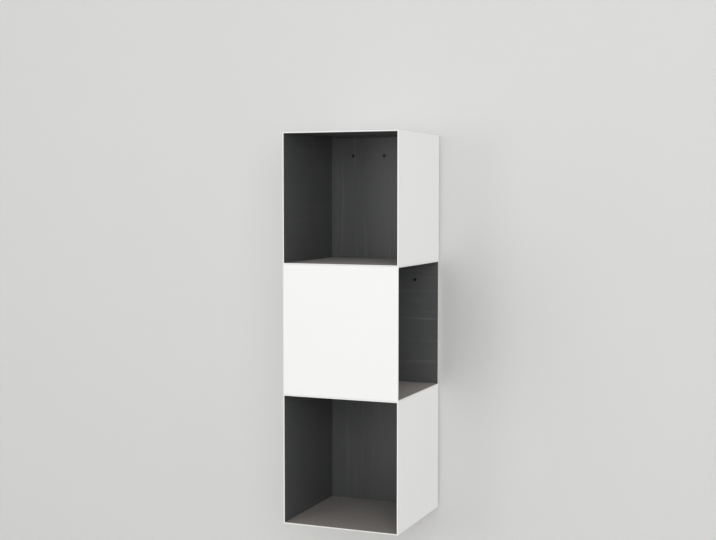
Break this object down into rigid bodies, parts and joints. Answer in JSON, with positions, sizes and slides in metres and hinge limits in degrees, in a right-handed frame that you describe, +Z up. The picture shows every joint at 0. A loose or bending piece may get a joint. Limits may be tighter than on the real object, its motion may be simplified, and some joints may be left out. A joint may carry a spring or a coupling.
{
  "type": "file shelf",
  "caption": "Wall-hung column of equal white sheet-steel boxes, lined dark grey inside, for lever-arch files. The middle box is turned a quarter turn and opens to the side.",
  "frame": {"origin": "the middle of the middle wall rail's back face, on the plane of the wall", "axes": "+Z up, +Y into the wall, +X to the right as seen from the room, which is the way the middle box opens"},
  "size_m": [0.312, 0.318, 0.9996],
  "materials": {
    "white_coat": "fine satin powder coat, white",
    "charcoal_laminate": "satin dark grey laminate with a fine grain",
    "grey_felt": "pressed warm grey felt",
    "zinc": "zinc-plated steel",
    "dark_steel": "blackened steel",
    "black_rubber": "matt black rubber"
  },
  "bodies": {
    "root": {"bottom_back_liner": "charcoal_laminate", "bottom_back_plate": "white_coat", "bottom_bumper_left": "black_rubber", "bottom_bumper_right": "black_rubber", "bottom_casing": "white_coat", "bottom_ceiling_liner": "charcoal_laminate", "bottom_floor_mat": "grey_felt", "bottom_hook_rail": "zinc", "bottom_left_liner": "charcoal_laminate", "bottom_rail_screw_1": "dark_steel", "bottom_rail_screw_2": "dark_steel", "bottom_rail_screw_3": "dark_steel", "bottom_right_liner": "charcoal_laminate", "bottom_wall_rail": "zinc", "bottom_weld_nut_1": "zinc", "bottom_weld_nut_2": "zinc", "bottom_weld_nut_3": "zinc", "middle_back_liner": "charcoal_laminate", "middle_back_plate": "white_coat", "middle_bumper_left": "black_rubber", "middle_bumper_right": "black_rubber", "middle_casing": "white_coat", "middle_ceiling_liner": "charcoal_laminate", "middle_floor_mat": "grey_felt", "middle_hook_rail": "zinc", "middle_left_liner": "charcoal_laminate", "middle_rail_screw_1": "dark_steel", "middle_rail_screw_2": "dark_steel", "middle_rail_screw_3": "dark_steel", "middle_right_liner": "charcoal_laminate", "middle_wall_rail": "zinc", "middle_weld_nut_1": "zinc", "middle_weld_nut_2": "zinc", "middle_weld_nut_3": "zinc", "top_back_liner": "charcoal_laminate", "top_back_plate": "white_coat", "top_bumper_left": "black_rubber", "top_bumper_right": "black_rubber", "top_casing": "white_coat", "top_ceiling_liner": "charcoal_laminate", "top_floor_mat": "grey_felt", "top_hook_rail": "zinc", "top_left_liner": "charcoal_laminate", "top_rail_screw_1": "dark_steel", "top_rail_screw_2": "dark_steel", "top_rail_screw_3": "dark_steel", "top_right_liner": "charcoal_laminate", "top_wall_rail": "zinc", "top_weld_nut_1": "zinc", "top_weld_nut_2": "zinc", "top_weld_nut_3": "zinc"}
  },
  "joints": []
}
